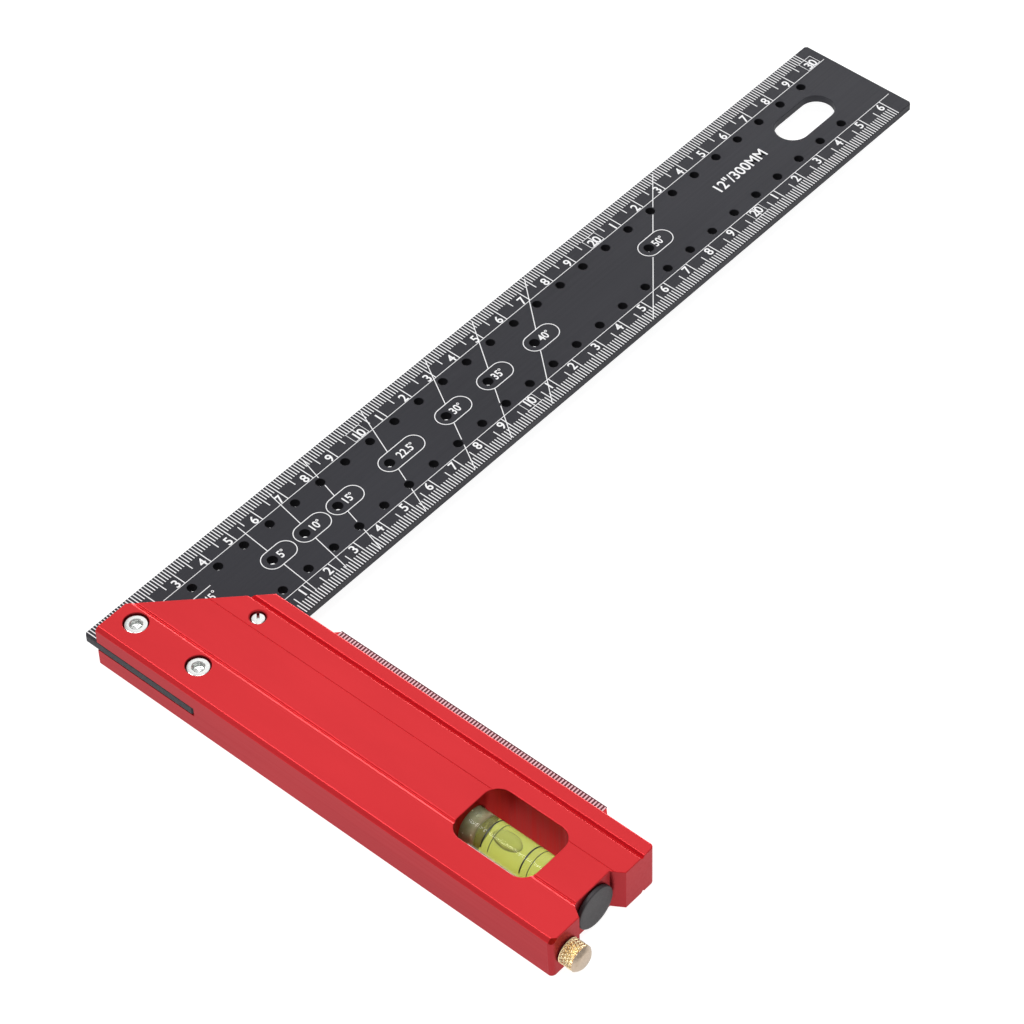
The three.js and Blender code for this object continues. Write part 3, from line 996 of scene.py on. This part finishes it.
def numbered(zero, y, last):
    """Figures beside the centimetre ticks; tens stand on theirs, and make_blade_marks boxes them."""
    meshes = []
    for centimetre in range(1, last + 1):
        x = zero + centimetre * CENTIMETRE
        if centimetre % 10 == 0:
            meshes.append(lettering(str(centimetre), x, y, DIGIT_HEIGHT))
        else:
            text = str(centimetre % 10)
            meshes.append(lettering(text, x - DIGIT_OFFSET, y, DIGIT_HEIGHT))
    return meshes


def boxed(bm, x, y):
    half_width, half_height = NUMBER_BOX[0] / 2, NUMBER_BOX[1] / 2
    corners = [
        (x - half_width, y - half_height), (x + half_width, y - half_height),
        (x + half_width, y + half_height), (x - half_width, y + half_height),
    ]
    loop_line(bm, corners, BOX_LINE_WIDTH, BLADE_HIGH.z, INK * 1.2)


def pill(left, right, y, radius, steps=14):
    """Outline of a stadium round two centres."""
    points = []
    for x, start in ((right, -90), (left, 90)):
        for step in range(steps + 1):
            turn = math.radians(start + 180 * step / steps)
            points.append((x + radius * math.cos(turn), y + radius * math.sin(turn)))
    return points


def angle_marks(bm):
    """The angle lines with their pills, and the figures inside the pills."""
    pill_lengths = {5: 4.9, 22.5: 9.5}
    line_ends = {5: (-4.7, -36.5), 10: (-1.25, -37)}
    clear = 0.35  # between a line and a hole's rim
    meshes = []
    for degrees, text in ANGLES.items():
        hole = angle_hole_x(degrees)
        length = pill_lengths.get(degrees, 5.7)
        loop_line(bm, pill(hole, hole + length, PILL_Y, PILL_RADIUS), LINE_WIDTH, BLADE_HIGH.z)
        top, end = line_ends.get(degrees, (-1, -39.5))
        breaks = [(PILL_Y + PILL_RADIUS, PILL_Y - PILL_RADIUS)]
        slope = math.cos(math.radians(degrees))
        for y, first, last in HOLE_ROWS:
            x = angle_line_x(degrees, y)
            nearest = min(range(first, last + 1, CENTIMETRE), key=lambda hx: abs(hx - x))
            distance = abs(nearest - x) * slope
            reach = HOLE_RADIUS + clear
            if distance < reach:
                foot = y - (x - nearest) * math.sin(math.radians(degrees)) * slope
                half = math.sqrt(reach**2 - distance**2) * slope
                breaks.append((foot + half, foot - half))
        y = top
        for upper, lower in sorted(breaks, reverse=True):
            draw_angle_line(bm, degrees, y, upper)
            y = lower
        draw_angle_line(bm, degrees, y, end)
        middle = hole + length * 0.66 - 0.3
        figures = lettering(text, middle, PILL_Y - 0.1, PILL_DIGIT_HEIGHT, condense=0.84)
        right = max(vertex.co.x for vertex in figures.vertices)
        degree = lettering("°", right + 0.5, PILL_Y + 0.05, PILL_DEGREE_HEIGHT, THIN_WEIGHT)
        meshes += [figures, degree]
    return meshes


def draw_angle_line(bm, degrees, start_y, end_y):
    start = (angle_line_x(degrees, start_y), start_y)
    end = (angle_line_x(degrees, end_y), end_y)
    strip(bm, start, end, LINE_WIDTH, BLADE_HIGH.z, INK * 0.9)


def make_blade_marks():
    bm = bmesh.new()
    top_y, low_y = BLADE_HIGH.y, BLADE_LOW.y
    ruled_scale(bm, 0, OUTER_MARKS, top_y, -1)
    ruled_scale(bm, INNER_ZERO, INNER_MARKS, low_y, 1)
    guide_end = BLADE_HIGH.x - GUIDE_END_GAP
    for y in (OUTER_GUIDE_Y, INNER_GUIDE_Y):
        strip(bm, (GUIDE_START, y), (guide_end, y), GUIDE_WIDTH, BLADE_HIGH.z, INK * 0.8)
    figures = numbered(0, OUTER_DIGIT_Y, 30) + numbered(INNER_ZERO, INNER_DIGIT_Y, 26)
    for centimetre in (10, 20, 30):
        boxed(bm, centimetre * CENTIMETRE, OUTER_DIGIT_Y + 0.55)
    for centimetre in (10, 20):
        boxed(bm, INNER_ZERO + centimetre * CENTIMETRE, INNER_DIGIT_Y - 0.3)
    figures += angle_marks(bm)
    line = SHOULDER_LINE
    strip(bm, (line["start"], line["y"]), (line["end"], line["y"]), LINE_WIDTH, BLADE_HIGH.z)
    figures += [lettering(**mark) for mark in (SHOULDER_TEXT, SHOULDER_DEGREE, SIZE_TEXT)]
    strokes = mesh_from_bmesh(bm, "strokes")
    mesh = joined([strokes, *figures], "blade_marks")
    piece("blade_marks", mesh, WHITE, "square")


def make_ledge_marks():
    bm = bmesh.new()
    tip = STOCK_HIGH.x - 0.05
    count = round(LEDGE_TICKS["first"] - LEDGE_TICKS["last"])
    for i in range(count + 1):
        y = LEDGE_TICKS["first"] - i
        start = (tip - LEDGE_TICKS["reach"], y)
        strip(bm, start, (tip - 0.15, y), LEDGE_TICKS["width"], BLADE_HIGH.z)
    piece("ledge_marks", mesh_from_bmesh(bm, "ledge_marks"), PINK, "square")

    # A thin dark band under the ticks, as painted shade on the ledge.
    shade_band_x = tip - LEDGE_TICKS["reach"] / 2
    shade_band_ends = ((shade_band_x, LEDGE_TICKS["first"] + 0.3), (shade_band_x, LEDGE_TICKS["last"] - 0.3))
    bm = bmesh.new()
    strip(bm, *shade_band_ends, LEDGE_TICKS["reach"] + 0.3, BLADE_HIGH.z, INK / 3)
    piece("ledge_painted_shade", mesh_from_bmesh(bm, "ledge_painted_shade"), LEDGE_SHADE_RED, "square")


# ---------------------------------------------------------------- screws


def make_clamp_screw(node):
    low, high = box_mm(node)
    head = (high.x - low.x) / 2
    top = high.z
    seat = top - CLAMP_SCREW["head"]
    shank = CLAMP_SCREW["shank_radius"]
    socket = hexagon(HEX_KEY)
    bevel = 0.3
    profile = [
        (0.02, low.z),
        (shank - bevel, low.z),
        (shank, low.z + bevel),
        (shank, seat),
        (head - 0.15, seat),
        (head, seat + 0.15),
        (head, top - bevel),
        *reversed(arc_profile(head, top, bevel, (1, True))[:-1]),
        (HEX_KEY / 2 + 0.42, top),
        (lambda turn: socket(turn) + 0.02, top - 0.28),
        (socket, top - 0.32),
        (socket, top - HEX_DEPTH),
        (1.1, top - HEX_DEPTH - 0.05),
        (0.02, top - HEX_DEPTH - 0.6),
    ]
    mesh = turned(profile, "Z", upright_axis(node), 72)
    piece(node + "_body", mesh, STEEL, "square", [node], 30)


def make_set_screw():
    low, high = box_mm("set_screw")
    centre = upright_axis("set_screw")
    radius = SET_SCREW["radius"]
    top = high.z
    profile = [
        (0.02, low.z),
        (radius - 0.3, low.z),
        (radius, low.z + 0.3),
        *arc_profile(radius, top, 0.3, (1, False)),
        (0.02, top),
    ]
    body = turned(profile, "Z", centre, 48)
    half = SET_SCREW["slot_width"] / 2
    slot = block((-3, -half, top - SET_SCREW["slot_depth"]), (3, half, top + 1))
    slot.transform(Matrix.Translation(Vector(centre)) @ Matrix.Rotation(math.radians(45), 4, "Z"))
    mesh = combined(body, [slot], "DIFFERENCE")
    piece("set_screw_body", mesh, STEEL, "adjuster", ["set_screw"], 30)


# ---------------------------------------------------------------- spirit level


def make_vial():
    low, high = box_mm("vial_tube")
    tube = turned(rounded_rod(VIAL_RADIUS, low.y, high.y, 0.5), "Y", VIAL_AXIS, 96)
    piece("vial_tube_body", tube, ACRYLIC, "square", ["vial_tube"])
    liquid_low, liquid_high = box_mm("vial_liquid")
    profile = rounded_rod(LIQUID_RADIUS, liquid_low.y, liquid_high.y, 0.5)
    liquid = turned(profile, "Y", VIAL_AXIS, 96)
    piece("vial_liquid_body", liquid, LIQUID, "square", ["vial_liquid"])
    end_profile = rounded_rod(LIQUID_RADIUS, liquid_high.y + 0.1, high.y - 0.4, 0.6)
    clear_end = turned(end_profile, "Y", VIAL_AXIS, 96)
    piece("vial_closed_end", clear_end, FROSTED, "square")
    rings = []
    for y, width in RINGS:
        inner, outer = VIAL_RADIUS + 0.005, VIAL_RADIUS + 0.045
        low_y, high_y = y - width / 2, y + width / 2
        profile = [(inner, low_y), (outer, low_y), (outer, high_y), (inner, high_y)]
        rings.append(arc_band(profile, VIAL_AXIS))
    piece("vial_rings", joined(rings, "rings"), RING_INK, "square")


def arc_band(profile, centre, steps=64):
    """Part of a ring about the Y axis, with the profile as its section."""
    bm = bmesh.new()
    loops = []
    first, last = RING_ARC
    for i in range(steps + 1):
        turn = math.radians(first + (last - first) * i / steps)
        c, s = math.cos(turn), math.sin(turn)
        loops.append([
            bm.verts.new((centre[0] + r * c, y, centre[2] + r * s)) for r, y in profile
        ])
    for here, there in zip(loops, loops[1:]):
        for i in range(len(profile)):
            j = (i + 1) % len(profile)
            bm.faces.new((here[i], here[j], there[j], there[i]))
    bm.faces.new(loops[0])
    bm.faces.new(loops[-1])
    return mesh_from_bmesh(bm, "band")


def make_bubble():
    low, high = box_mm("vial_bubble")
    centre = (low + high) / 2
    half = (high - low) / 2
    bm = bmesh.new()
    bmesh.ops.create_uvsphere(bm, u_segments=48, v_segments=32, radius=1)
    for vert in bm.verts:
        along = vert.co.y
        fullness = 1 + 0.1 * (1 - along * along)  # a pill's sides are fuller than an egg's
        vert.co = Vector((
            centre.x + half.x * vert.co.x * fullness,
            centre.y + half.y * along,
            centre.z + half.z * vert.co.z,
        ))
    mesh = mesh_from_bmesh(bm, "bubble")
    piece("vial_bubble_body", mesh, BUBBLE_HIGHLIGHT, "bubble", ["vial_bubble"])


def make_end_plug():
    low, high = box_mm("end_plug")
    radius = (high.x - low.x) / 2
    seat = END_Y + NOTCH["depth"] - GAP
    stem = 5
    face = low.y
    dish = 0.12
    profile = [
        (0.02, face + dish),
        (radius * 0.45, face + dish * 0.85),
        (radius * 0.8, face + dish * 0.2),
        *arc_profile(radius, face, 0.3, (-1, True)),
        (radius, seat),
        (stem, seat),
        (stem, high.y),
        (0.02, high.y),
    ]
    mesh = turned(profile, "Y", VIAL_AXIS, 96)
    piece("end_plug_body", mesh, PLASTIC, "square", ["end_plug"])


# ---------------------------------------------------------------- locating pin


def knurl_depth(turn, along):
    """How far a diamond knurl is cut in, from 0 on a diamond's tip to 1 in a groove."""
    depth = 0
    for direction in (-1, 1):
        phase = KNURL_TEETH * (turn + direction * KNURL_TWIST * along) / (2 * math.pi)
        from_groove = abs(phase - round(phase)) * 2
        depth = max(depth, 1 - from_groove)
    return max(0, depth * 1.5 - 0.5)


def make_pin_head():
    low, high = box_mm("pin_head")
    radius = (high.x - low.x) / 2
    bevel = 1.1
    length = high.y - low.y
    sides = KNURL_TEETH * 12
    steps = 60
    middle_profile = []
    for step in range(steps + 1):
        along = bevel + (length - bevel) * step / steps

        def knurled(turn, along=along):
            fade = min(1, (length - along) / 0.3, (along - bevel) / 0.5)
            return radius - KNURL_DEPTH * knurl_depth(turn, along) * fade

        middle_profile.append((knurled, low.y + along))
    socket = 1.8
    socket_floor = low.y + 1.4
    profile = [
        (0.02, low.y + 0.05),
        (radius - 1.25, low.y),
        (radius - 1.1, low.y + 0.05),
        (radius - 0.55, low.y + 0.45),
        *middle_profile,
        (socket + 0.2, high.y),
        (socket, high.y - 0.2),
        (socket, socket_floor),
        (0.02, socket_floor),
    ]
    mesh = turned(profile, "Y", lying_axis("pin_head"), sides)
    head = piece("pin_head_body", mesh, BRASS, "locating_pin", ["pin_head"], 50)
    # The bevelled end takes the darker, greyer brass: painted shade and painted reflection.
    head.data.materials.append(BRASS_END_SHADE)
    for face in head.data.polygons:
        if face.center.y < CORNER.y + (low.y + bevel) * MM:
            face.material_index = 1


def make_pin_shank():
    low, high = box_mm("pin_shank")
    radius = (high.x - low.x) / 2
    profile = rounded_rod(radius, low.y, high.y, 0.4)
    mesh = turned(profile, "Y", lying_axis("pin_shank"), 48)
    piece("pin_shank_body", mesh, PIN_STEEL, "locating_pin", ["pin_shank"])


def finish_hidden_pieces():
    """The two pieces of the level that stay as the CAD has them take a proper material."""
    for node, finish in (("vial_stopper", ACRYLIC), ("vial_pad", RUBBER)):
        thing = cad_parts[node]
        thing.data.materials.clear()
        thing.data.materials.append(finish)


# ---------------------------------------------------------------- stage, lights and camera


def make_floor():
    bm = bmesh.new()
    bmesh.ops.create_grid(bm, x_segments=1, y_segments=1, size=6)
    made = material("pale_floor", (0.3, 0.3, 0.3), 0, 0.7, Specular_IOR_Level=0.1)
    shader = made.node_tree.nodes["Principled BSDF"]
    shader.inputs["Emission Color"].default_value = (1, 1, 1, 1)
    shader.inputs["Emission Strength"].default_value = 0.92
    grain = noise(made, 400)
    vary_roughness(made, grain, 0.65, 0.8)
    mesh = mesh_from_bmesh(bm, "floor")
    mesh.materials.append(made)
    floor = link("floor", mesh)
    floor.location.z = cad_low.z


def area_light(name, place, target, size, energy, colour=(1, 1, 1)):
    data = bpy.data.lights.new(name, "AREA")
    data.shape = "RECTANGLE"
    data.size, data.size_y = size
    data.energy = energy
    data.color = colour
    lamp = bpy.data.objects.new(name, data)
    bpy.context.scene.collection.objects.link(lamp)
    lamp.location = place
    direction = Vector(target) - Vector(place)
    lamp.rotation_mode = "QUATERNION"
    lamp.rotation_quaternion = direction.to_track_quat("-Z", "Y")


def make_lights():
    world = bpy.data.worlds.new("studio")
    world.use_nodes = True
    background = world.node_tree.nodes["Background"]
    background.inputs["Color"].default_value = (1, 1, 1, 1)
    background.inputs["Strength"].default_value = 0.42
    bpy.context.scene.world = world
    area_light("overhead_softbox", (-0.1, -0.1, 1.6), (0, 0, 0), (0.8, 0.8), 7.5)
    area_light("back_softbox", (-0.58, 0.69, 1.2), (0, 0, 0), (0.5, 0.5), 8.5)
    area_light("facing_softbox", (0.75, 0.69, 1.1), (0, 0, 0), (0.9, 0.9), 2.1)
    area_light("low_softbox", (1.14, 0.6, 0.15), (0, 0, 0), (0.6, 0.4), 8)


def make_camera():
    azimuth = math.radians(47.302)
    elevation = math.radians(47.442)
    roll = math.radians(-1.996)
    distance = 1.08763
    target = Vector((-0.04749, 0.02657, 0.00845))
    level = math.cos(elevation)
    forward = Vector((
        math.sin(azimuth) * level, math.cos(azimuth) * level, -math.sin(elevation)
    ))
    data = bpy.data.cameras.new("camera")
    data.sensor_width = 36
    data.lens = 141.617
    data.clip_start, data.clip_end = 0.05, 50
    camera = bpy.data.objects.new("camera", data)
    bpy.context.scene.collection.objects.link(camera)
    camera.rotation_mode = "QUATERNION"
    look = forward.to_track_quat("-Z", "Y")
    tilt = Matrix.Rotation(-roll, 4, forward).to_quaternion()
    camera.rotation_quaternion = tilt @ look
    camera.location = target - forward * distance
    bpy.context.scene.camera = camera


make_stock()
make_blade()
make_hole_walls()
make_blade_marks()
make_ledge_marks()
for clamp_node in CLAMP_SCREWS:
    make_clamp_screw(clamp_node)
make_set_screw()
make_vial()
make_bubble()
make_end_plug()
make_pin_head()
make_pin_shank()
finish_hidden_pieces()
make_floor()
make_lights()
make_camera()
bpy.context.scene.view_settings.view_transform = "Standard"
